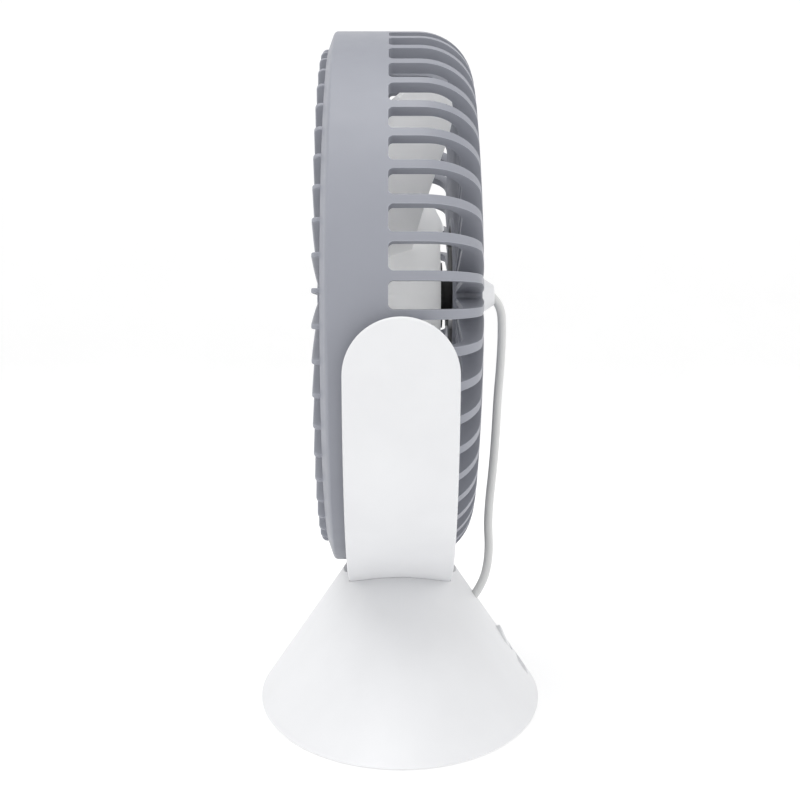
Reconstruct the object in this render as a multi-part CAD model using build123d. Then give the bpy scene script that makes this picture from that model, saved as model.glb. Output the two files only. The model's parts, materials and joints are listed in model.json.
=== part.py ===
from build123d import *
import math
import os

# Small desk fan: a tilting round head on a U-shaped yoke over an oval conical base.
# Millimetres. X runs from side to side, +Y is the back, +Z is up, and the origin is on
# the table under the middle of the base.

# ---- driving dimensions -------------------------------------------------------------
AXIS_Z = 120.0            # height of the fan's own axis
PIVOT_Z = 99.7            # height of the tilt pins
DRUM_R = 80.0             # outside of the head
WALL = 3.4                # thickness of the head's wall and depth of its side bars
BAR_COUNT = 50
BAR_STEP = 360.0 / BAR_COUNT
BAR_OUT = 2.54            # width of a rear bar at the outside
BAR_IN = 1.3              # and where it meets the motor cup
SLOT_START = -3.3         # where the solid band ends and the slots begin
RIM_Y = -19.2             # front outer corner of the band
RIM_SLOPE = 0.353         # the front rim leans forward towards the grille
SHOULDER_Y = 5.5          # where the wall starts to turn over to the back
SHOULDER_R = 16.1
SHOULDER_TURN = 84.0      # degrees that the shoulder turns through
BACK_Y = 24.1            # outermost face of the back
BAR_FRONT_Y = 16.2        # front edge of the deep bars on the back
BAR_FRONT_R = 9.0         # inside radius of the shoulder
CUP_R = 23.6              # motor cup at the middle of the back
CUP_FRONT_Y = 15.4
CUP_WALL = 2.0
CUP_FLOOR_Y = 22.8
CUP_PLATE_BACK = 17.2     # back of the motor plate, where the cup's screw posts begin
LIP_R = 78.2              # rebate that the front grille sits in
LIP_Y = -17.8

GRILLE_TURN = 0.9         # the grille sits turned by this against the rear bars
GRILLE_RING_IN = 73.4
GRILLE_FRONT_Y = -23.2
GRILLE_DOME = 1.0
GRILLE_BACK_Y = -18.4
GRILLE_BAR_OUT = 1.35
GRILLE_BAR_IN = 0.95
GRILLE_DISC_R = 20.0
SKIRT_IN = 74.8           # short wall behind the grille's ring that carries its snap hooks
SKIRT_OUT = 76.4
SKIRT_Y = -15.6
DISC_PROUD = 0.25         # the middle disc stands this much proud of the bars

BLADES = 4
BLADE_LEAD = 42.4         # azimuth of the first blade at Y = 0, from +Z towards +X
BLADE_TWIST = -1.25       # degrees of azimuth for each millimetre back
BLADE_T = 1.5
TIP_R = 74.2
HUB_R = 17.6
HUB_FRONT_Y = -12.0
HUB_BACK_Y = 12.1

YOKE_IN = 84.0
YOKE_T = 2.5
YOKE_OUT = YOKE_IN + YOKE_T
YOKE_HALF = 15.0          # half of the yoke's width
PAD_R = 6.5               # round pads at the pivot
PAD_X = 79.4
WASHER_T = 0.5
PIN_R = 2.0

BASE_A = 82.4             # half-length of the oval at the table, from side to side
BASE_B = 42.2             # and from front to back
BASE_APEX = 61.0          # the cone's sides meet at this height
BASE_WALL_A = 3.6
BASE_WALL_B = 2.7
BASE_WALL_TOP = 3.5
SHELL_FOOT = 0.5          # the shell's edge stands this far off the table
SADDLE_WALL = 2.5
PLATE_Z = 0.9
PLATE_T = 2.0
FOOT_R = 6.0

BUTTON_R = 4.2
BUTTON_Z = 14.6
BUTTON_RISE = 24.0        # degrees that the button's axis points above level
BUTTON_PROUD = 0.45
BUTTON_TRAVEL = 0.8

CORD_D = 2.6
GAP = 0.05                # radial clearance of a close running fit

INNER_A = BASE_A - BASE_WALL_A
INNER_B = BASE_B - BASE_WALL_B
INNER_APEX = BASE_APEX - BASE_WALL_TOP
PLATE_TOP = PLATE_Z + PLATE_T
PLATE_SCREWS = [(60, 0), (-60, 0), (20, -26), (-20, -26), (27, 22), (-27, 22)]
BALLAST_SPOTS = (-1, 1)
BOARD_Z = 3.8
BOARD_T = 1.6
BOARD_POSTS = [(12, 0), (-12, 0)]
SOCKET_Z = BOARD_Z + BOARD_T + 1.63
SWITCH_POSTS = (-9, 9)
SWITCH_BOARD_DEPTH = 8.1
FEET = [(46, 17), (-46, 17), (46, -17), (-46, -17)]
YOKE_SCREWS = [(16, 7), (-16, 7), (16, -7), (-16, -7)]

# the motor cord's corner points, (Y, Z), in the plane X = 0
CORD_ROUTE = [
    (27.3, 120.8), (29.9, 118.2), (31.25, 114.9), (31.45, 111.0), (31.35, 105.0), (30.9, 97.5),
    (30.1, 88.5), (29.5, 77.5), (28.7, 67.0), (27.6, 57.5), (27.1, 49.5), (27.45, 43.5),
    (27.2, 38.6), (26.3, 34.0), (24.5, 30.0), (22.0, 26.5), (19.0, 23.6),
]

BACK = (0, 1, 0)
SIDE = (1, 0, 0)


# ---- helpers ------------------------------------------------------------------------
def about_axis(*outline):
    """Solid of revolution about the fan's axis from (radius, y) corners, head at the origin."""
    return revolve(make_face(Polyline(*outline, close=True)), Axis.Y, 360)


def raised(shape):
    """Move a head part from the origin up to the fan's axis."""
    return Pos(0, 0, AXIS_Z) * shape


def drum(radius, y_from, y_to):
    return about_axis((0, y_from), (radius, y_from), (radius, y_to), (0, y_to))


def ring(inner, outer, y_from, y_to):
    return about_axis((inner, y_from), (outer, y_from), (outer, y_to), (inner, y_to))


def rod(start, direction, radius, length):
    """Round rod from a point along a direction."""
    seat = Plane(origin=start, z_dir=direction)
    return seat * Cylinder(radius, length, align=(Align.CENTER, Align.CENTER, Align.MIN))


def block(x_from, x_to, y_from, y_to, z_from, z_to):
    size = (x_to - x_from, y_to - y_from, z_to - z_from)
    middle = ((x_from + x_to) / 2, (y_from + y_to) / 2, (z_from + z_to) / 2)
    return Pos(*middle) * Box(*size)


def around(shape, count, first=0.0):
    """Copies of a shape turned about the fan's axis."""
    return [Rot(0, first + 360.0 / count * k, 0) * shape for k in range(count)]


def bar_edge(radius, side, azimuth, inner, outer):
    """Point on one side of a tapered radial bar; inner and outer are (radius, width)."""
    share = (radius - inner[0]) / (outer[0] - inner[0])
    half = (inner[1] + (outer[1] - inner[1]) * share) / 2 * side
    c = math.cos(math.radians(azimuth))
    s = math.sin(math.radians(azimuth))
    return radius * c - half * s, radius * s + half * c


def between_bars(r_from, r_to, y_from, y_to, inner, outer, corner=0.0, end_corner=0.0):
    """Gap between the bars at +/- half a step from +X, as a solid to cut away."""
    half = BAR_STEP / 2
    low_in = bar_edge(r_from, 1, -half, inner, outer)
    low_out = bar_edge(r_to, 1, -half, inner, outer)
    high_in = (low_in[0], -low_in[1])
    high_out = (low_out[0], -low_out[1])
    at = lambda p: (p[0], y_from, p[1])
    sides = [Line(at(low_in), at(low_out)), Line(at(low_out), at(high_out)), Line(at(high_out), at(high_in))]
    nose = ThreePointArc(at(high_in), (math.hypot(*low_in), y_from, 0), at(low_in))
    gap = extrude(make_face(sides + [nose]), amount=y_to - y_from, dir=BACK)
    if end_corner:
        near = [e for e in gap.edges().filter_by(Axis.Y) if e.center().X < low_in[0] + 0.5]
        gap = fillet(near, end_corner)
    if corner:
        front = [e for e in gap.edges() if abs(e.center().Y - y_from) < 0.001 and e.length > 0.6 * (r_to - r_from)
                 and abs(e.center().Z) > 0.5 and e.center().X < low_out[0] - 0.5]
        gap = fillet(front, corner)
    return gap


def cord_path(points, share=0.45):
    """Straight runs joined by arcs as large as the runs allow, with the list of radii."""
    spots = [Vector(*p) for p in points]
    radii = []
    for before, here, after in zip(spots, spots[1:], spots[2:]):
        turn = (here - before).get_angle(after - here)
        run = min((here - before).length, (after - here).length)
        radii.append(share * run / math.tan(math.radians(turn / 2)))
    return FilletPolyline(*points, radius=radii), radii


def tube(points, diameter):
    path, radii = cord_path(points)
    section = Plane(origin=path @ 0, z_dir=path % 0) * Circle(diameter / 2)
    return sweep(section, path=path), path, radii


# ---- head: rear shell ---------------------------------------------------------------
def make_rear_shell():
    turn = math.radians(SHOULDER_TURN)
    centre_r = DRUM_R - SHOULDER_R

    def on_shoulder(angle):
        return centre_r + SHOULDER_R * math.cos(angle), SHOULDER_Y + SHOULDER_R * math.sin(angle)

    cup_in = CUP_R - CUP_WALL
    cap_hole = 4.0
    floor_edge = (13.0, BACK_Y)
    wall_in = DRUM_R - WALL
    bend_r = wall_in - BAR_FRONT_R
    bend_y = BAR_FRONT_Y - BAR_FRONT_R
    diag = BAR_FRONT_R * math.sqrt(0.5)
    outline = [
        Line((DRUM_R, RIM_Y), (DRUM_R, SHOULDER_Y)),
        ThreePointArc((DRUM_R, SHOULDER_Y), on_shoulder(turn / 2), on_shoulder(turn)),
        TangentArc(on_shoulder(turn), floor_edge, tangent=(-math.sin(turn), math.cos(turn))),
        Polyline(floor_edge, (cap_hole, BACK_Y), (cap_hole, CUP_FLOOR_Y), (cup_in, CUP_FLOOR_Y),
                 (cup_in, CUP_FRONT_Y), (CUP_R, CUP_FRONT_Y), (CUP_R, BAR_FRONT_Y), (bend_r, BAR_FRONT_Y)),
        ThreePointArc((bend_r, BAR_FRONT_Y), (bend_r + diag, bend_y + diag), (wall_in, bend_y)),
        Polyline((wall_in, bend_y), (wall_in, LIP_Y), (LIP_R, LIP_Y),
                 (LIP_R, RIM_Y - (DRUM_R - LIP_R) * RIM_SLOPE), (DRUM_R, RIM_Y)),
    ]
    shell = revolve(make_face(outline), Axis.Y, 360)
    corner = [e for e in shell.edges().filter_by(GeomType.CIRCLE)
              if abs(e.radius - DRUM_R) < 0.001 and abs(e.center().Y - RIM_Y) < 0.001]
    shell = fillet(corner, 1.2)

    bar = ((CUP_R, BAR_IN), (DRUM_R, BAR_OUT))
    side_gap = between_bars(70, 86, SLOT_START, 30, *bar, corner=1.4)
    back_gap = between_bars(CUP_R, 72, 8, 30, *bar, end_corner=0.6)
    shell = shell - around(side_gap + back_gap, BAR_COUNT)

    # pivot pads, each with a hole for the pin and a pocket for its clip
    drop = PIVOT_Z - AXIS_Z
    inside = drum(DRUM_R - WALL - 0.6, -30, 30)
    for side in (-1, 1):
        seat = (side * 70.0, 0, drop)
        away = (side, 0, 0)
        pad = rod(seat, away, PAD_R, PAD_X - 70.0) - inside
        shell = shell + pad
        shell = shell - rod(seat, away, PIN_R + GAP, 12)
        shell = shell - rod(seat, away, 4.4, 76.5 - 70.0)

    # three posts in the cup that the motor plate is screwed to
    post = rod((16.5, CUP_PLATE_BACK, 0), BACK, 2.6, CUP_FLOOR_Y - CUP_PLATE_BACK + 0.5)
    pilot = rod((16.5, CUP_PLATE_BACK - 1, 0), BACK, 0.8, 5.5)
    shell = shell + around(post, 3, 30)
    shell = shell - around(pilot, 3, 30)

    # windows that the grille's four hooks snap into
    window = block(76.0, 77.3, -14.6, -12.6, -4.6, 4.6)
    shell = shell - around(window, 4, 45)
    return raised(shell)


# ---- head: front grille -------------------------------------------------------------
def make_front_grille():
    face_y = RIM_Y - (DRUM_R - 74.9) * RIM_SLOPE
    lip = LIP_R - 0.1
    outer = GRILLE_RING_IN + 1.2
    round_r = 1.6
    nose = outer - round_r
    bend_y = GRILLE_FRONT_Y + round_r
    diag = round_r * math.sqrt(0.5)

    frame = about_axis((lip, LIP_Y), (lip, RIM_Y - (DRUM_R - lip) * RIM_SLOPE), (74.9, face_y),
                       (GRILLE_RING_IN, face_y), (GRILLE_RING_IN, LIP_Y), (SKIRT_IN, LIP_Y), (SKIRT_IN, SKIRT_Y),
                       (SKIRT_OUT, SKIRT_Y), (SKIRT_OUT, LIP_Y))
    front = [(r, dome_y(r) - DISC_PROUD) for r in (0, 5, 10, 15, GRILLE_DISC_R)]
    disc_back = GRILLE_BACK_Y + DISC_PROUD
    disc = about_axis(*front, (GRILLE_DISC_R, disc_back), (0, disc_back))

    # one bar: a slice of the domed grille, with its front edges rounded
    slice_face = make_face([
        Polyline((GRILLE_DISC_R - 1, GRILLE_BACK_Y), (GRILLE_RING_IN + 0.3, GRILLE_BACK_Y),
                 (GRILLE_RING_IN + 0.3, face_y + 0.5), (outer, face_y + 0.5), (outer, bend_y)),
        ThreePointArc((outer, bend_y), (nose + diag, bend_y - diag), (nose, GRILLE_FRONT_Y)),
        ThreePointArc((nose, GRILLE_FRONT_Y), (nose / 2 + 9, dome_y(nose / 2 + 9)),
                      (GRILLE_DISC_R - 1, dome_y(GRILLE_DISC_R - 1))),
        Line((GRILLE_DISC_R - 1, dome_y(GRILLE_DISC_R - 1)), (GRILLE_DISC_R - 1, GRILLE_BACK_Y))])
    slab = extrude(slice_face, amount=2, both=True)
    ends = ((GRILLE_DISC_R, GRILLE_BAR_IN), (outer, GRILLE_BAR_OUT))
    corners = [bar_edge(r, s, 0, *ends) for r, s in ((18, -1), (80, -1), (80, 1), (18, 1))]
    prism = extrude(make_face(Polyline(*[(x, -40, z) for x, z in corners], close=True)), amount=40, dir=(0, 1, 0))
    bar = slab & prism
    long_edges = [e for e in bar.edges() if (e @ 0.5).Y < face_y and abs((e @ 0.5).Z) > 0.3]
    bar = fillet(long_edges, 0.35)
    seamless = Rot(0, BAR_STEP / 2, 0) * (frame + disc)
    grille = seamless + around(bar, BAR_COUNT)

    hook = block(SKIRT_IN - 1, SKIRT_OUT + 1, SKIRT_Y - 0.8, -12.0, -4, 4)
    hook = hook & ring(SKIRT_IN + 0.1, SKIRT_OUT - 0.1, -20, 0)
    barb = block(SKIRT_IN, SKIRT_OUT + 1, -14.4, -12.8, -3.9, 3.9)
    barb = barb & ring(SKIRT_IN + 0.2, SKIRT_OUT + 0.6, -20, 0)
    grille = Rot(0, -GRILLE_TURN, 0) * grille
    return raised(grille + around(hook + barb, 4, 45))


def dome_y(radius):
    """Front face of the grille's shallow dome."""
    nose = GRILLE_RING_IN - 0.4
    return GRILLE_FRONT_Y - GRILLE_DOME * (1 - (radius / nose) ** 2)


# ---- head: motor --------------------------------------------------------------------
def make_motor_plate():
    plate = drum(CUP_R - CUP_WALL - 0.15, 15.6, CUP_PLATE_BACK) + drum(7.6, 13.0, 15.7)
    plate = plate - drum(4.0 + 0.02, 12.0, 18.0)
    hole = rod((16.5, 15, 0), BACK, 1.1, 4)
    slot = block(8.4, 10.4, 15, 18, -3, 3)
    return raised(plate - around(hole, 3, 30) - slot)


def make_bearing_tube():
    tube_body = ring(2.2, 4.0, 1.0, 16.6)
    front_seat = drum(3.0, 0.0, 3.5)
    rear_seat = drum(3.0, 12.0, 18.0)
    return raised(tube_body - front_seat - rear_seat)


def make_bearing(y_from):
    race_gap = ring(1.95, 2.55, y_from - 1, y_from + 0.25) + ring(1.95, 2.55, y_from + 2.25, y_from + 4)
    return raised(ring(1.5, 2.98, y_from, y_from + 2.5) - race_gap)


def make_shaft():
    shaft = drum(1.49, -5.6, 15.9)
    return raised(shaft - ring(1.1, 2.0, 14.75, 15.3))


def make_shaft_clip():
    clip = ring(1.12, 2.6, 14.8, 15.25)
    return raised(clip - block(0, 4, 14, 16, -0.9, 0.9))


def make_stator_core():
    yoke_ring = ring(4.02, 5.6, 3.2, 9.2)
    tooth = block(5.2, 9.4, 3.2, 9.2, -0.9, 0.9)
    shoe = ring(9.0, 10.2, 3.2, 9.2) & block(0, 12, 3, 10, -2.6, 2.6)
    core = yoke_ring + around(tooth, 9) + around(shoe, 9)
    return raised(core)


def make_insulators():
    arm = block(5.5, 9.2, 2.45, 3.15, -0.85, 0.85)
    front = ring(4.05, 5.7, 2.4, 3.15) + ring(9.0, 10.0, 1.4, 3.15) + around(arm, 9)
    arm = block(5.5, 9.2, 9.25, 9.95, -0.85, 0.85)
    rear = ring(4.05, 5.7, 9.25, 10.0) + ring(9.0, 10.0, 9.25, 12.9) + around(arm, 9)
    return raised(front), raised(rear)


def make_windings():
    outer = block(5.9, 8.7, 2.0, 10.4, -1.9, 1.9)
    outer = fillet(outer.edges().filter_by(Axis.X), 0.9)
    core = block(5, 9.5, 2.35, 10.05, -0.95, 0.95)
    coil = outer - core
    return [raised(c) for c in around(coil, 9)]


def make_motor_board():
    return raised(ring(4.3, 9.0, 11.0, 12.0))


def make_rotor_cup():
    outline = [(1.5, -6.0), (3.2, -6.0), (3.2, -3.4), (13.0, -3.4), (13.0, 11.4), (12.2, 11.4),
               (12.2, -2.6), (1.5, -2.6)]
    cup = about_axis(*outline)
    corner = [e for e in cup.edges().filter_by(GeomType.CIRCLE)
              if abs(e.radius - 13.0) < 0.001 and abs(e.center().Y + 3.4) < 0.001]
    return raised(fillet(corner, 0.6))


def make_rotor_magnet():
    return raised(ring(10.7, 12.15, 1.5, 11.0))


# ---- head: impeller -----------------------------------------------------------------
def blade_point(radius, y, camber=0.0):
    azimuth = math.radians(BLADE_LEAD + BLADE_TWIST * y + camber)
    return radius * math.sin(azimuth), y, radius * math.cos(azimuth)


def make_impeller():
    wall = 1.8
    sleeve_in = 13.05
    sleeve_out = 14.4
    hub = about_axis((0, HUB_FRONT_Y), (HUB_R, HUB_FRONT_Y), (HUB_R, HUB_BACK_Y), (HUB_R - wall, HUB_BACK_Y),
                     (HUB_R - wall, HUB_FRONT_Y + 2), (sleeve_out, HUB_FRONT_Y + 2), (sleeve_out, 11.2),
                     (sleeve_in, 11.2), (sleeve_in, -3.5), (3.25, -3.5), (3.25, -6.1), (0, -6.1))
    nose = [e for e in hub.edges().filter_by(GeomType.CIRCLE)
            if abs(e.radius - HUB_R) < 0.001 and abs(e.center().Y - HUB_FRONT_Y) < 0.001]
    hub = fillet(nose, 3.0)
    stiffener = block(sleeve_out - 0.2, HUB_R - wall + 0.2, HUB_FRONT_Y + 1.8, 9.0, -0.6, 0.6)
    hub = hub + around(stiffener, 8)

    lead = Spline((16.3, 3.4), (30, 6.8), (42, 10.8), (52, 14.4), (60, 15.3), (67, 12.4), (71.6, 7.6), (TIP_R, 1.0))
    trail = Spline((16.3, -9.6), (34, -10.6), (55, -11.4), (TIP_R, -11.2))
    spans = 14
    chords = 8
    grid = []
    for i in range(spans + 1):
        share = i / spans
        row = []
        for j in range(chords + 1):
            part_way = j / chords
            front = trail @ share
            rear = lead @ share
            radius = front.X + (rear.X - front.X) * part_way
            y = front.Y + (rear.Y - front.Y) * part_way
            camber = 2.6 * math.sin(math.pi * part_way) * (20 / max(radius, 20))
            row.append(Vector(*blade_point(radius, y, camber)))
        grid.append(row)
    skin = Face.make_surface_from_array_of_points(grid, tol=0.02)
    blade = Solid.thicken(skin, BLADE_T)
    core = drum(HUB_R - 0.8, HUB_FRONT_Y, HUB_BACK_Y)
    blade = blade - core
    return raised(hub + around(blade, BLADES))


# ---- head: rear cap and cord --------------------------------------------------------
def make_rear_cap(passage):
    cap = about_axis((0, BACK_Y + 0.05), (6.15, BACK_Y + 0.05), (3.3, 28.6), (2.9, 29.0), (0, 29.0))
    spigot = ring(2.4, 3.9, CUP_FLOOR_Y - 0.6, BACK_Y + 0.3)
    snap = ring(3.6, 4.3, CUP_FLOOR_Y - 0.6, CUP_FLOOR_Y - 0.1)
    hollow = about_axis((0, BACK_Y - 4), (2.4, BACK_Y - 4), (2.4, BACK_Y + 1.2), (0, BACK_Y + 1.2))
    return raised(cap + spigot + snap - hollow) - passage


# ---- yoke and pivots ----------------------------------------------------------------
def make_yoke():
    drop = PIVOT_Z - AXIS_Z
    band = ring(YOKE_IN, YOKE_OUT, -YOKE_HALF, YOKE_HALF)
    half_x = YOKE_OUT + 1
    lower = block(-half_x, half_x, -YOKE_HALF, YOKE_HALF, -90, drop)
    tops = rod((-half_x, 0, drop), SIDE, YOKE_HALF, 2 * half_x)
    yoke = band & (lower + tops)
    edges = [e for e in yoke.edges() if not e.is_closed and abs((e @ 0.5).Z) < 86]
    edges = [e for e in edges if abs(math.hypot((e @ 0.5).X, (e @ 0.5).Z) - YOKE_OUT) < 0.02]
    yoke = fillet(edges, 0.6)
    face_x = PAD_X + WASHER_T + 0.1
    for side in (-1, 1):
        away = (side, 0, 0)
        boss = rod((side * face_x, 0, drop), away, PAD_R, 3.4)
        boss = boss & ring(60, YOKE_OUT - 0.8, -20, 20)
        yoke = yoke - rod((side * 70, 0, drop), away, PAD_R + 0.5, face_x - 70)
        yoke = yoke + boss
        yoke = yoke - rod((side * 70, 0, drop), away, PIN_R, 82.8 - 70)
        yoke = yoke - rod((side * 82.0, 0, drop), away, 3.2, 0.8)
    for x, y in YOKE_SCREWS:
        yoke = yoke - rod((x, y, -YOKE_OUT - 1), (0, 0, 1), 0.9, 4.3)
    return raised(yoke)


def make_pivot_pin(side):
    away = (side, 0, 0)
    pin = rod((side * 75.2, 0, PIVOT_Z), away, PIN_R, 82.0 - 75.2) + rod((side * 82.0, 0, PIVOT_Z), away, 3.2, 0.8)
    groove = rod((side * 75.75, 0, PIVOT_Z), away, 3.0, 0.6) - rod((side * 75, 0, PIVOT_Z), away, 1.5, 3)
    return pin - groove


def make_pivot_clip(side):
    away = (side, 0, 0)
    clip = rod((side * 75.8, 0, PIVOT_Z), away, 3.4, 0.5) - rod((side * 75, 0, PIVOT_Z), away, 1.52, 3)
    x_from, x_to = sorted((side * 75, side * 77))
    return clip - block(x_from, x_to, -1.2, 1.2, PIVOT_Z - 4, PIVOT_Z)


def make_washer(side):
    away = (side, 0, 0)
    start = (side * (PAD_X + 0.03), 0, PIVOT_Z)
    return rod(start, away, 6.0, WASHER_T) - rod((side * 75, 0, PIVOT_Z), away, PIN_R + 0.06, 10)


# ---- base ---------------------------------------------------------------------------
def oval_cone(a, b, apex, z_from, z_to):
    """Straight-sided oval cone cut off at two heights; a and b are its half-axes at Z = 0."""
    ends = []
    for z in (z_from, z_to):
        share = 1 - z / apex
        ends.append(Pos(0, 0, z) * Ellipse(a * share, b * share))
    return loft(ends, ruled=True)


def button_plane():
    rise = math.radians(BUTTON_RISE)
    surface_y = BASE_B * (1 - BUTTON_Z / BASE_APEX)
    return Plane(origin=(0, surface_y, BUTTON_Z), x_dir=(1, 0, 0), z_dir=(0, math.cos(rise), math.sin(rise)))


def local_rod(radius, z_from, z_to, x=0.0, y=0.0):
    body = Pos(x, y, z_from) * Cylinder(radius, z_to - z_from, align=(Align.CENTER, Align.CENTER, Align.MIN))
    return button_plane() * body


def local_box(half_x, y_from, y_to, z_from, z_to):
    middle = (0, (y_from + y_to) / 2, (z_from + z_to) / 2)
    return button_plane() * (Pos(*middle) * Box(2 * half_x, y_to - y_from, z_to - z_from))


def make_base_shell(passage):
    outer = oval_cone(BASE_A, BASE_B, BASE_APEX, SHELL_FOOT, 50)
    void = oval_cone(INNER_A, INNER_B, INNER_APEX, SHELL_FOOT - 2, 48)
    void = void - raised(drum(YOKE_OUT + SADDLE_WALL, -60, 60))
    shell = outer - void
    shell = shell - raised(drum(YOKE_IN, -60, 60))
    shell = shell - raised(ring(YOKE_IN - 1, YOKE_OUT + 0.03, -YOKE_HALF - 0.05, YOKE_HALF + 0.05))

    # posts for the plate's screws, down to the plate
    for x, y in PLATE_SCREWS:
        post = rod((x, y, PLATE_TOP + 0.1), (0, 0, 1), 3.2, 22) & outer
        shell = shell + post
    for x, y in PLATE_SCREWS:
        shell = shell - rod((x, y, PLATE_TOP - 1), (0, 0, 1), 1.1, 6.5)

    # thick wall behind the socket, and its pocket
    housing = block(-8.5, 8.5, 33.9, 45, PLATE_TOP + 0.2, 11.2) & outer
    shell = shell + housing
    pocket = block(-6.2, 6.2, 35.95, 50, SOCKET_Z - 2.6, SOCKET_Z + 2.6)
    pocket = fillet(pocket.edges().filter_by(Axis.Y), 2.3)
    mouth = block(-4.75, 4.75, 30, 40, SOCKET_Z - 1.9, SOCKET_Z + 1.9)
    mouth = fillet(mouth.edges().filter_by(Axis.Y), 1.2)
    shell = shell - pocket - mouth

    # button hole, and the two posts of its switch board
    shell = shell - local_rod(BUTTON_R + 0.25, -2.6, 8)
    shell = shell - local_rod(6.4, -9, -2.4)
    for x in SWITCH_POSTS:
        post = local_rod(2.2, -SWITCH_BOARD_DEPTH + 0.05, 2, x=x) & outer
        shell = shell + post
        shell = shell - local_rod(0.7, -SWITCH_BOARD_DEPTH - 1, -3.4, x=x)

    # four holes for the screws that hold the yoke down
    for x, y in YOKE_SCREWS:
        shell = shell - rod((x, y, 20), (0, 0, 1), 1.3, 20)
    return shell - passage


def make_base_plate():
    a = INNER_A * (1 - PLATE_TOP / INNER_APEX) - 0.4
    b = INNER_B * (1 - PLATE_TOP / INNER_APEX) - 0.4
    plate = extrude(Pos(0, 0, PLATE_Z) * Ellipse(a, b), amount=PLATE_T)
    for x, y in FEET:
        plate = plate - rod((x, y, 0), (0, 0, 1), FOOT_R + 0.1, PLATE_Z + 0.8)
    for x, y in BOARD_POSTS:
        plate = plate + rod((x, y, PLATE_TOP - 0.2), (0, 0, 1), 2.5, BOARD_Z - PLATE_TOP + 0.2)
        plate = plate - rod((x, y, PLATE_Z + 0.6), (0, 0, 1), 0.8, 4)
    for x, y in PLATE_SCREWS:
        plate = plate - rod((x, y, 0), (0, 0, 1), 1.5, 5) - rod((x, y, 0), (0, 0, 1), 2.8, PLATE_Z + 1.1)
    for side in BALLAST_SPOTS:
        plate = plate + rod((side * 35, 0, PLATE_TOP - 0.2), (0, 0, 1), 2.0, 4.5)
    return plate


def make_feet():
    return [fillet(rod((x, y, 0), (0, 0, 1), FOOT_R, PLATE_Z + 0.75).edges().sort_by(Axis.Z)[0], 0.4) for x, y in FEET]


def make_ballast(side):
    slab = block(-15, 15, -18, 18, PLATE_TOP + 0.02, PLATE_TOP + 4.8)
    slab = fillet(slab.edges().filter_by(Axis.Z), 4)
    slab = Pos(side * 35, 0, 0) * slab
    return slab - rod((side * 35, 0, 0), (0, 0, 1), 2.15, 12)


def make_control_board():
    board = block(-17, 17, -6, 33.3, BOARD_Z, BOARD_Z + BOARD_T)
    board = fillet(board.edges().filter_by(Axis.Z), 1.0)
    for x, y in BOARD_POSTS:
        board = board - rod((x, y, 0), (0, 0, 1), 1.1, 10)
    return board


def make_board_parts():
    top = BOARD_Z + BOARD_T
    chip = block(-2.5, 2.5, 12, 16.4, top, top + 1.5)
    coil = rod((-9, 16, top), (0, 0, 1), 3.0, 3.2)
    capacitor = rod((9, 12, top), (0, 0, 1), 2.5, 5.0)
    header = block(-4, 4, -3.5, 0.5, top, top + 4.6)
    return chip, coil, capacitor, header


def make_usb_socket():
    half_w = 4.47
    low = SOCKET_Z - 1.63 + 0.01
    high = SOCKET_Z + 1.55
    body = block(-half_w, half_w, 28.9, 35.4, low, high)
    body = fillet(body.edges().filter_by(Axis.Y), 1.3)
    hollow = block(-half_w + 0.3, half_w - 0.3, 30.5, 37, low + 0.3, high - 0.3)
    hollow = fillet(hollow.edges().filter_by(Axis.Y), 1.0)
    middle = (low + high) / 2
    tongue = block(-3.3, 3.3, 30.4, 34.4, middle - 0.35, middle + 0.35)
    return body - hollow + tongue


def make_power_button():
    button = local_rod(BUTTON_R, -2.5, BUTTON_PROUD)
    rims = button.edges().filter_by(GeomType.CIRCLE)
    outer_rim = max(rims, key=button_height)
    button = fillet(outer_rim, 0.35)
    flange = local_rod(4.75, -3.1, -2.45)
    stem = local_rod(1.6, -3.9, -3.0)
    return button + flange + stem


def button_height(edge):
    """How far out along the button's axis an edge lies."""
    return (edge.center() - button_plane().origin).dot(button_plane().z_dir)


def make_tact_switch():
    body = local_box(2.25, -2.25, 2.25, -SWITCH_BOARD_DEPTH + 0.02, -4.95)
    return body - local_rod(1.25, -7.2, -4)


def make_switch_plunger():
    return local_rod(1.2, -6.1, -3.92)


def make_switch_board():
    board = local_box(11.5, -3.6, 4.0, -SWITCH_BOARD_DEPTH - 1.2, -SWITCH_BOARD_DEPTH)
    for x in SWITCH_POSTS:
        board = board - local_rod(1.0, -12, -4, x=x)
    return board


def screw(start, direction, shank_r, shank_len, head_r, head_h):
    """Pan-head screw: start is under the head, direction is the way it is driven."""
    back = tuple(-d for d in direction)
    head = rod(start, back, head_r, head_h)
    cross = rod(Vector(*start) + Vector(*back) * (head_h * 0.45), back, head_r * 0.32, head_h)
    return head - cross + rod(start, direction, shank_r, shank_len)


def local_vector():
    rise = math.radians(BUTTON_RISE)
    return 0, math.cos(rise), math.sin(rise)


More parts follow.
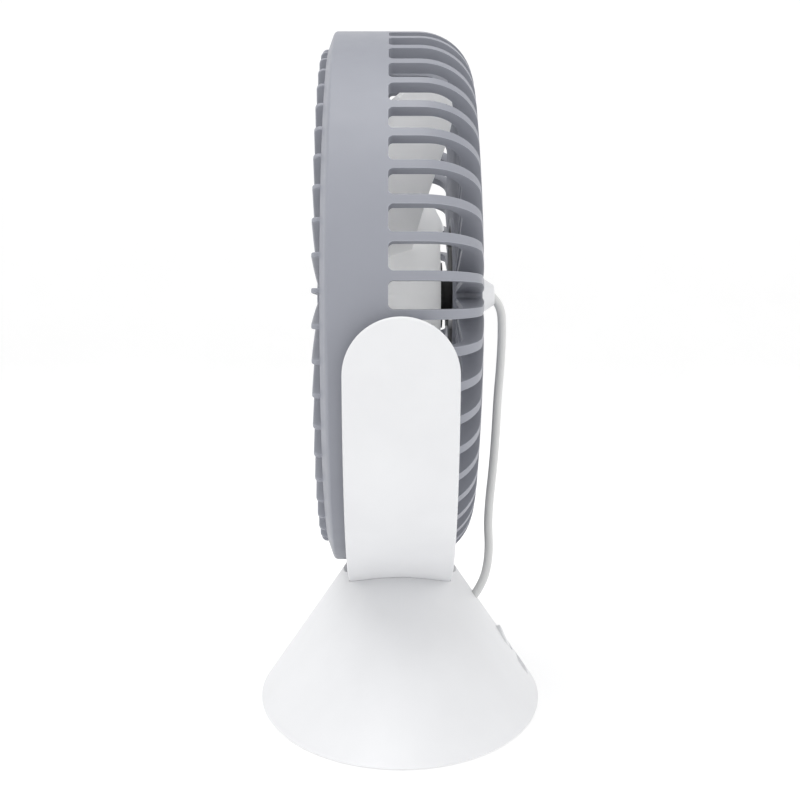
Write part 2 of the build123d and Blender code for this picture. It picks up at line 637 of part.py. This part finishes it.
def main():
    parts = {}
    route = [(0, y, z) for y, z in CORD_ROUTE]
    cord, path, radii = tube(route, CORD_D)
    passage, _, _ = tube(route, CORD_D + 0.3)
    parts["motor_cord"] = cord
    print("cord length %.1f" % path.length, "volume %.2f" % cord.volume,
          "section x length %.2f" % (math.pi * CORD_D ** 2 / 4 * path.length))
    print("cord radii", " ".join("%.1f" % r for r in radii))

    parts["rear_shell"] = make_rear_shell()
    parts["front_grille"] = make_front_grille()
    parts["rear_cap"] = make_rear_cap(passage)
    parts["motor_plate"] = make_motor_plate()
    parts["bearing_tube"] = make_bearing_tube()
    parts["front_bearing"] = make_bearing(1.0)
    parts["rear_bearing"] = make_bearing(12.0)
    parts["stator_core"] = make_stator_core()
    parts["front_insulator"], parts["rear_insulator"] = make_insulators()
    parts["stator_windings"] = make_windings()
    parts["motor_board"] = make_motor_board()
    parts["motor_screws"] = [raised(s) for s in around(
        screw((16.5, 15.6, 0), BACK, 0.8, 5.0, 1.7, 1.2), 3, 30)]

    parts["impeller"] = make_impeller()
    parts["rotor_cup"] = make_rotor_cup()
    parts["rotor_magnet"] = make_rotor_magnet()
    parts["motor_shaft"] = make_shaft()
    parts["shaft_clip"] = make_shaft_clip()

    parts["yoke"] = make_yoke()
    parts["pivot_pins"] = [make_pivot_pin(s) for s in (-1, 1)]
    parts["pivot_clips"] = [make_pivot_clip(s) for s in (-1, 1)]
    parts["friction_washers"] = [make_washer(s) for s in (-1, 1)]
    seat_x = YOKE_SCREWS[0][0] - 2.0
    seat_z = AXIS_Z - math.sqrt((YOKE_OUT + SADDLE_WALL) ** 2 - seat_x ** 2) - 0.1
    parts["yoke_screws"] = [screw((x, y, seat_z), (0, 0, 1), 0.88, 4.2, 2.0, 1.3) for x, y in YOKE_SCREWS]

    parts["base_shell"] = make_base_shell(passage)
    parts["base_plate"] = make_base_plate()
    parts["base_screws"] = [screw((x, y, PLATE_Z + 1.1), (0, 0, 1), 1.05, 5.5, 2.6, 1.0) for x, y in PLATE_SCREWS]
    parts["rubber_feet"] = make_feet()
    parts["ballast_weights"] = [make_ballast(s) for s in BALLAST_SPOTS]
    parts["control_board"] = make_control_board()
    chip, coil, capacitor, header = make_board_parts()
    parts["driver_chip"] = chip
    parts["board_inductor"] = coil
    parts["board_capacitor"] = capacitor
    parts["cord_header"] = header
    parts["board_screws"] = [screw((x, y, BOARD_Z + BOARD_T), (0, 0, -1), 0.78, 3.6, 1.9, 1.2) for x, y in BOARD_POSTS]
    parts["usb_socket"] = make_usb_socket()
    parts["power_button"] = make_power_button()
    parts["switch_plunger"] = make_switch_plunger()
    parts["tact_switch"] = make_tact_switch()
    parts["switch_board"] = make_switch_board()
    plane = button_plane()
    parts["switch_screws"] = [
        screw(tuple(plane.from_local_coords((x, 0, -SWITCH_BOARD_DEPTH - 1.2))), local_vector(), 0.68, 4.5, 1.5, 1.0)
        for x in SWITCH_POSTS]

    os.makedirs("parts", exist_ok=True)
    for name, shape in parts.items():
        if isinstance(shape, (list, tuple)):
            shape = Compound([solid for piece in shape for solid in piece.solids()])
        export_step(shape, "parts/%s.step" % name)


main()
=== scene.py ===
import json
import math

import bmesh
import bpy
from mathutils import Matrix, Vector


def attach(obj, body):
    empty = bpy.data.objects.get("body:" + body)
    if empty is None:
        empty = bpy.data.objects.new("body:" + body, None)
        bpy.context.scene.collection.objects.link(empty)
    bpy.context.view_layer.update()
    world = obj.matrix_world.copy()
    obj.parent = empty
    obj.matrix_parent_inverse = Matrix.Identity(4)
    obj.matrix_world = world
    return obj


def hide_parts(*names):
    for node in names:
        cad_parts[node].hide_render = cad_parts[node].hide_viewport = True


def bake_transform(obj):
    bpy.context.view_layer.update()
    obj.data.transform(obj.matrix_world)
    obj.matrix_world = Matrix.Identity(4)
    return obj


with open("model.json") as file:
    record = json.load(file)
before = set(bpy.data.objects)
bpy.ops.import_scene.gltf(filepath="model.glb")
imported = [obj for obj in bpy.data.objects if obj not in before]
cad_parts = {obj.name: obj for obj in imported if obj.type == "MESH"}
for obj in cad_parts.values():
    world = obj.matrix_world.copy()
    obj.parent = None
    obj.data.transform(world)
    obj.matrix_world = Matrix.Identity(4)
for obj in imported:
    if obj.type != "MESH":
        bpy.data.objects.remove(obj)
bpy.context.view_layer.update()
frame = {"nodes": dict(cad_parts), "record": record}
nodes = frame["nodes"]

MM = 0.001
BODY_OF = {"rear_shell": "head", "yoke": "base"}
slot_of = {part["node"]: part["material_slot"] for part in frame["record"]["subparts"]}

# ---- materials ----------------------------------------------------------------------
NOISE_LOW = 0.3           # a noise texture's values lie mostly between these two
NOISE_HIGH = 0.7
CLOUD_SCALE = 38
ROUGH_SCALE = 160
RELIEF_DEPTH = 0.0002     # metres
EDGE_RADIUS = 0.5 * MM
EDGE_SAMPLES = 4
EDGE_FLAT = 0.985         # cosine of the lean at which an edge starts to show
EDGE_FULL = 0.80          # and at which it shows in full
TURN_SCALE = 900          # windings: turns of wire
BLADE_GLOW = 0.10         # emission that stands in for light through the thin blades


def new_material(name):
    material = bpy.data.materials.new(name)
    material.use_nodes = True
    tree = material.node_tree
    return material, tree, tree.nodes["Principled BSDF"]


def noise(tree, coords, scale, detail=4.0, rough=0.55):
    node = tree.nodes.new("ShaderNodeTexNoise")
    node.inputs["Scale"].default_value = scale
    node.inputs["Detail"].default_value = detail
    node.inputs["Roughness"].default_value = rough
    tree.links.new(coords, node.inputs["Vector"])
    return node.outputs["Fac"]


def spread(tree, value, low, high):
    """Maps a noise value to low..high."""
    node = tree.nodes.new("ShaderNodeMapRange")
    node.inputs["From Min"].default_value = NOISE_LOW
    node.inputs["From Max"].default_value = NOISE_HIGH
    node.inputs["To Min"].default_value = low
    node.inputs["To Max"].default_value = high
    tree.links.new(value, node.inputs["Value"])
    return node.outputs["Result"]


def ramp(tree, value, stops):
    """Colour that runs through stops of (place, colour) as a value rises."""
    node = tree.nodes.new("ShaderNodeValToRGB")
    elements = node.color_ramp.elements
    while len(elements) < len(stops):
        elements.new(0.5)
    for element, (place, colour) in zip(elements, stops):
        element.position = place
        element.color = (*colour, 1)
    tree.links.new(value, node.inputs["Fac"])
    return node.outputs["Color"]


def mixed(tree, share, first, second):
    """Two colours mixed, each a plain colour or a socket."""
    node = tree.nodes.new("ShaderNodeMix")
    node.data_type = "RGBA"
    tree.links.new(share, node.inputs["Factor"])
    for socket, value in ((node.inputs[6], first), (node.inputs[7], second)):
        if isinstance(value, tuple):
            socket.default_value = (*value, 1)
        else:
            tree.links.new(value, socket)
    return node.outputs[2]


def lighter(colour, factor):
    return tuple(min(1.0, c * factor) for c in colour)


def edge_mask(tree, highlight_share):
    """Mask of the painted edge highlight: 0 on open faces, rising to the given share along edges: how far
    a rounded normal leans from the true one.
    """
    geometry = tree.nodes.new("ShaderNodeNewGeometry")
    bevel = tree.nodes.new("ShaderNodeBevel")
    bevel.samples = EDGE_SAMPLES
    bevel.inputs["Radius"].default_value = EDGE_RADIUS
    product = tree.nodes.new("ShaderNodeVectorMath")
    product.operation = "DOT_PRODUCT"
    tree.links.new(geometry.outputs["Normal"], product.inputs[0])
    tree.links.new(bevel.outputs["Normal"], product.inputs[1])
    edges = tree.nodes.new("ShaderNodeMapRange")
    edges.inputs["From Min"].default_value = EDGE_FLAT
    edges.inputs["From Max"].default_value = EDGE_FULL
    edges.inputs["To Max"].default_value = highlight_share
    tree.links.new(product.outputs["Value"], edges.inputs["Value"])
    return edges.outputs["Result"]


def moulded(name, colour, rough=(0.42, 0.52), grain=1400, bump=0.06, edge=1.12, highlight_share=0.35, metal=0.0):
    """Moulded or plated surface: fine grain, cloudy tone and roughness, and paler edges from a painted
    highlight.
    """
    material, tree, shader = new_material(name)
    coords = tree.nodes.new("ShaderNodeTexCoord").outputs["Object"]
    cloud = noise(tree, coords, CLOUD_SCALE, 3)
    tone = ramp(tree, cloud, [(NOISE_LOW, lighter(colour, 0.975)), (NOISE_HIGH, lighter(colour, 1.02))])
    # Painted highlight: the colour turns paler along edges.
    highlit_tone = mixed(tree, edge_mask(tree, highlight_share), tone, lighter(colour, edge))
    tree.links.new(highlit_tone, shader.inputs["Base Color"])
    tree.links.new(spread(tree, noise(tree, coords, ROUGH_SCALE, 5), *rough), shader.inputs["Roughness"])
    fine = noise(tree, coords, grain, 2)
    relief = tree.nodes.new("ShaderNodeBump")
    relief.inputs["Strength"].default_value = bump
    relief.inputs["Distance"].default_value = RELIEF_DEPTH
    tree.links.new(fine, relief.inputs["Height"])
    tree.links.new(relief.outputs["Normal"], shader.inputs["Normal"])
    shader.inputs["Metallic"].default_value = metal
    return material


def wound(name, colour):
    """Enamelled wire wound in close turns."""
    material, tree, shader = new_material(name)
    coords = tree.nodes.new("ShaderNodeTexCoord").outputs["Object"]
    wave = tree.nodes.new("ShaderNodeTexWave")
    wave.inputs["Scale"].default_value = TURN_SCALE
    wave.inputs["Distortion"].default_value = 0.6
    tree.links.new(coords, wave.inputs["Vector"])
    strands = ramp(tree, wave.outputs["Fac"], [(0.1, lighter(colour, 0.35)), (0.7, colour)])
    tree.links.new(strands, shader.inputs["Base Color"])
    tree.links.new(spread(tree, noise(tree, coords, 300), 0.25, 0.45), shader.inputs["Roughness"])
    relief = tree.nodes.new("ShaderNodeBump")
    relief.inputs["Strength"].default_value = 0.5
    relief.inputs["Distance"].default_value = RELIEF_DEPTH
    tree.links.new(wave.outputs["Fac"], relief.inputs["Height"])
    tree.links.new(relief.outputs["Normal"], shader.inputs["Normal"])
    shader.inputs["Metallic"].default_value = 0.8
    return material


BLUE = (0.285, 0.295, 0.335)
WHITE = (0.765, 0.77, 0.785)
looks = {
    "blue_plastic": moulded("blue_plastic", BLUE, (0.40, 0.50), edge=1.5, highlight_share=0.5),
    "white_plastic": moulded("white_plastic", WHITE, (0.38, 0.48), edge=1.1),
    "blade_plastic": moulded("blade_plastic", (0.90, 0.905, 0.905), (0.36, 0.46)),
    "cord_jacket": moulded("cord_jacket", (0.66, 0.665, 0.66), (0.38, 0.5), grain=2600, bump=0.1),
    "foot_rubber": moulded("foot_rubber", (0.05, 0.05, 0.052), (0.7, 0.85), grain=900, bump=0.25),
    "weight_iron": moulded("weight_iron", (0.10, 0.10, 0.10), (0.5, 0.75), grain=700, bump=0.5, metal=0.9),
    "nylon": moulded("nylon", (0.78, 0.78, 0.74), (0.3, 0.4)),
    "core_steel": moulded("core_steel", (0.20, 0.20, 0.21), (0.35, 0.5), metal=0.9),
    "winding_copper": wound("winding_copper", (0.30, 0.10, 0.035)),
    "black_plastic": moulded("black_plastic", (0.012, 0.012, 0.013), (0.4, 0.55), edge=2.0),
    "magnet_black": moulded("magnet_black", (0.022, 0.022, 0.024), (0.5, 0.65), edge=1.6),
    "steel": moulded("steel", (0.45, 0.45, 0.46), (0.22, 0.38), grain=2200, bump=0.04, metal=1.0),
    "bronze": moulded("bronze", (0.36, 0.22, 0.11), (0.35, 0.5), grain=1800, bump=0.3, metal=1.0),
    "brass": moulded("brass", (0.48, 0.34, 0.14), (0.22, 0.36), grain=2200, bump=0.04, metal=1.0),
    "board_green": moulded("board_green", (0.015, 0.10, 0.045), (0.22, 0.34), edge=1.6),
}
translucent_with_painted_glow = looks["blade_plastic"].node_tree.nodes["Principled BSDF"]
translucent_with_painted_glow.inputs["Subsurface Weight"].default_value = 0.5
translucent_with_painted_glow.inputs["Subsurface Radius"].default_value = (1.0, 1.0, 1.0)
translucent_with_painted_glow.inputs["Subsurface Scale"].default_value = 4 * MM
# Painted glow: a faint white emission stands in for light through the thin blades.
translucent_with_painted_glow.inputs["Emission Color"].default_value = (1.0, 1.0, 1.0, 1.0)
translucent_with_painted_glow.inputs["Emission Strength"].default_value = BLADE_GLOW


def dress(piece, look):
    """Gives a piece one look all over."""
    piece.data.materials.clear()
    piece.data.materials.append(looks[look])
    for face in piece.data.polygons:
        face.material_index = 0


for name, node in nodes.items():
    dress(node, slot_of[name])

# ---- moulded pieces with rounded edges ------------------------------------------------
AXIS_Z = 120.0 * MM
DRUM_R = 80.0 * MM
SHOULDER_Y = 5.5 * MM     # where the band starts to turn over to the back
SHOULDER_R = 16.1 * MM
CLOSE = 0.12 * MM         # a point this near a turned surface lies on it
FACING = 0.97             # cosine of the most that a face may lean from that surface
MERGE = 2e-6              # metres between corners that are one corner


def drum_normal(point):
    """Outward direction of the head's turned outside at a point, or None away from that surface."""
    out = Vector((point.x, 0, point.z - AXIS_Z))
    radius = out.length
    out.normalize()
    if point.y <= SHOULDER_Y:
        return out if abs(radius - DRUM_R) < CLOSE else None
    from_centre = out * (radius - DRUM_R + SHOULDER_R) + Vector((0, point.y - SHOULDER_Y, 0))
    if radius > DRUM_R - SHOULDER_R and abs(from_centre.length - SHOULDER_R) < CLOSE:
        return from_centre.normalized()
    return None


def turned_shading(mesh):
    """Shades the faces of the head's turned outside by the surface they lie on."""
    normals = [corner.vector.copy() for corner in mesh.corner_normals]
    for face in mesh.polygons:
        for corner in face.loop_indices:
            exact = drum_normal(mesh.vertices[mesh.loops[corner].vertex_index].co)
            if exact is not None and exact.dot(face.normal) > FACING:
                normals[corner] = exact
    mesh.normals_split_custom_set(normals)


def rounded(name, width, segments=2, sharp=28.0, turned=False):
    """A moulded piece on the CAD node's shape, with its edges rounded, that stands for the node."""
    mesh = nodes[name].data.copy()
    shape = bmesh.new()
    shape.from_mesh(mesh)
    bmesh.ops.remove_doubles(shape, verts=shape.verts, dist=MERGE)
    shape.to_mesh(mesh)
    shape.free()
    for custom in ("custom_normal", "sharp_edge", "sharp_face"):
        if custom in mesh.attributes:
            mesh.attributes.remove(mesh.attributes[custom])
    for face in mesh.polygons:
        face.use_smooth = True
    piece = bpy.data.objects.new(name + "_moulding", mesh)
    bpy.context.scene.collection.objects.link(piece)
    bevel = piece.modifiers.new("edge_radius", "BEVEL")
    bevel.width = width
    bevel.segments = segments
    bevel.limit_method = "ANGLE"
    bevel.angle_limit = math.radians(sharp)
    bevel.use_clamp_overlap = True
    bevel.harden_normals = True
    depsgraph = bpy.context.evaluated_depsgraph_get()
    evaluated = piece.evaluated_get(depsgraph)
    final = bpy.data.meshes.new_from_object(evaluated, preserve_all_data_layers=True, depsgraph=depsgraph)
    piece.modifiers.clear()
    piece.data = final
    if turned:
        turned_shading(final)
    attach(piece, BODY_OF[name])
    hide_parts(name)
    dress(piece, slot_of[name])
    return piece


rounded("rear_shell", 0.35 * MM, turned=True)
rounded("yoke", 0.4 * MM, 3)

# ---- the motor's cord -----------------------------------------------------------------
CORD_ROUTE = [            # (y, z) in metres, in the plane x = 0, from the rear cap down into the base
    (0.0273, 0.1208), (0.0299, 0.1182), (0.03125, 0.1149), (0.03145, 0.1110), (0.03135, 0.1050),
    (0.0309, 0.0975), (0.0301, 0.0885), (0.0295, 0.0775), (0.0287, 0.0670), (0.0276, 0.0575),
    (0.0271, 0.0495), (0.02745, 0.0435), (0.0272, 0.0386), (0.0263, 0.0340), (0.0245, 0.0300),
    (0.0220, 0.0265), (0.0190, 0.0236),
]
CORD_D = 2.6 * MM


def cord_line():
    """Points along the NURBS spline of the cord's route."""
    curve = bpy.data.curves.new("cord_line", "CURVE")
    curve.dimensions = "3D"
    curve.resolution_u = 10
    spline = curve.splines.new("NURBS")
    spline.points.add(len(CORD_ROUTE) - 1)
    for point, (y, z) in zip(spline.points, CORD_ROUTE):
        point.co = (0, y, z, 1)
    spline.order_u = 3
    spline.use_endpoint_u = True
    holder = bpy.data.objects.new("cord_line", curve)
    bpy.context.scene.collection.objects.link(holder)
    line = bpy.data.meshes.new_from_object(holder)
    points = [vertex.co.copy() for vertex in line.vertices]
    bpy.data.objects.remove(holder)
    return points


def cord_tube(points, radius, sides=20):
    """Round tube along points in the plane X = 0."""
    shape = bmesh.new()
    rings = []
    for index, point in enumerate(points):
        before = points[max(index - 1, 0)]
        after = points[min(index + 1, len(points) - 1)]
        along = (after - before).normalized()
        across = Vector((1, 0, 0))
        up = across.cross(along)
        ring = []
        for side in range(sides):
            turn = 2 * math.pi * side / sides
            ring.append(shape.verts.new(point + radius * (math.cos(turn) * across + math.sin(turn) * up)))
        rings.append(ring)
    for first, second in zip(rings, rings[1:]):
        for side in range(sides):
            after = (side + 1) % sides
            shape.faces.new((first[side], first[after], second[after], second[side]))
    shape.faces.new(rings[0])
    shape.faces.new(rings[-1])
    bmesh.ops.recalc_face_normals(shape, faces=shape.faces)
    mesh = bpy.data.meshes.new("motor_lead")
    shape.to_mesh(mesh)
    shape.free()
    for face in mesh.polygons:
        face.use_smooth = len(face.vertices) == 4
    return mesh


line = cord_line()
lead = bpy.data.objects.new("motor_lead", cord_tube(line, CORD_D / 2))
bpy.context.scene.collection.objects.link(lead)
dress(lead, "cord_jacket")
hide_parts("motor_cord")
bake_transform(lead)

# ---- floor, light and camera ------------------------------------------------------------
FLOOR_R = 1.9             # metres, as are the next three
CURVE_R = 0.6
WALL_TOP = 2.6
MIDDLE = (0, 0, 0.1)      # what the lights point at
CURVE_STEPS = 10
FLOOR_SIDES = 72
FLOOR_GLOW = 0.47
WORLD_LIGHT = 0.5
CAMERA_PLACE = (0.451, -0.0018, 0.120)


def sweep():
    """Pale round floor that curves up into a wall on every side, and glows a little."""
    profile = [(0.3, 0.0), (0.9, 0.0), (FLOOR_R, 0.0)]
    for step in range(1, CURVE_STEPS + 1):
        turn = math.radians(90 * step / CURVE_STEPS)
        profile.append((FLOOR_R + CURVE_R * math.sin(turn), CURVE_R * (1 - math.cos(turn))))
    profile.append((FLOOR_R + CURVE_R, WALL_TOP))
    shape = bmesh.new()
    middle_point = shape.verts.new((0, 0, 0))
    rings = []
    for radius, height in profile:
        ring = []
        for side in range(FLOOR_SIDES):
            turn = 2 * math.pi * side / FLOOR_SIDES
            ring.append(shape.verts.new((radius * math.cos(turn), radius * math.sin(turn), height)))
        rings.append(ring)
    for side in range(FLOOR_SIDES):
        after = (side + 1) % FLOOR_SIDES
        shape.faces.new((middle_point, rings[0][side], rings[0][after]))
        for inner, outer in zip(rings, rings[1:]):
            shape.faces.new((inner[side], outer[side], outer[after], inner[after]))
    mesh = bpy.data.meshes.new("studio_floor")
    shape.to_mesh(mesh)
    shape.free()
    for face in mesh.polygons:
        face.use_smooth = True
    floor = bpy.data.objects.new("studio_floor", mesh)
    bpy.context.scene.collection.objects.link(floor)
    material, tree, shader = new_material("paper")
    coords = tree.nodes.new("ShaderNodeTexCoord").outputs["Object"]
    tone = ramp(tree, noise(tree, coords, 3), [(0.3, (0.59, 0.59, 0.59)), (0.7, (0.61, 0.61, 0.61))])
    tree.links.new(tone, shader.inputs["Base Color"])
    shader.inputs["Roughness"].default_value = 0.9
    shader.inputs["Specular IOR Level"].default_value = 0.1
    shader.inputs["Emission Color"].default_value = (1, 1, 1, 1)
    shader.inputs["Emission Strength"].default_value = FLOOR_GLOW
    mesh.materials.append(material)


def soft_box(name, place, size, power):
    """Soft light, size metres wide and high, at a place and pointing at the object's middle."""
    lamp = bpy.data.lights.new(name, "AREA")
    lamp.shape = "RECTANGLE"
    lamp.size, lamp.size_y = size
    lamp.energy = power
    holder = bpy.data.objects.new(name, lamp)
    holder.location = place
    holder.rotation_euler = (Vector(MIDDLE) - Vector(place)).to_track_quat("-Z", "Y").to_euler()
    bpy.context.scene.collection.objects.link(holder)


sweep()
soft_box("key", (0.30, -0.22, 1.25), (0.9, 0.9), 7)
soft_box("fill", (0.22, 0.95, 0.25), (0.8, 0.8), 0.6)
soft_box("top", (0.0, 0.0, 1.3), (1.4, 1.4), 2.0)

world = bpy.data.worlds.new("studio")
world.use_nodes = True
world.node_tree.nodes["Background"].inputs["Color"].default_value = (1, 1, 1, 1)
world.node_tree.nodes["Background"].inputs["Strength"].default_value = WORLD_LIGHT
bpy.context.scene.world = world
bpy.context.scene.view_settings.view_transform = "Standard"

camera = bpy.data.cameras.new("camera")
camera.lens = 65.9
camera.sensor_width = 36
camera.shift_x = 0.0075
camera.shift_y = -0.131
camera.clip_start = 0.01
viewer = bpy.data.objects.new("camera", camera)
viewer.location = CAMERA_PLACE
viewer.rotation_euler = (math.radians(90), 0, math.radians(90))
bpy.context.scene.collection.objects.link(viewer)
bpy.context.scene.camera = viewer

bpy.context.view_layer.update()
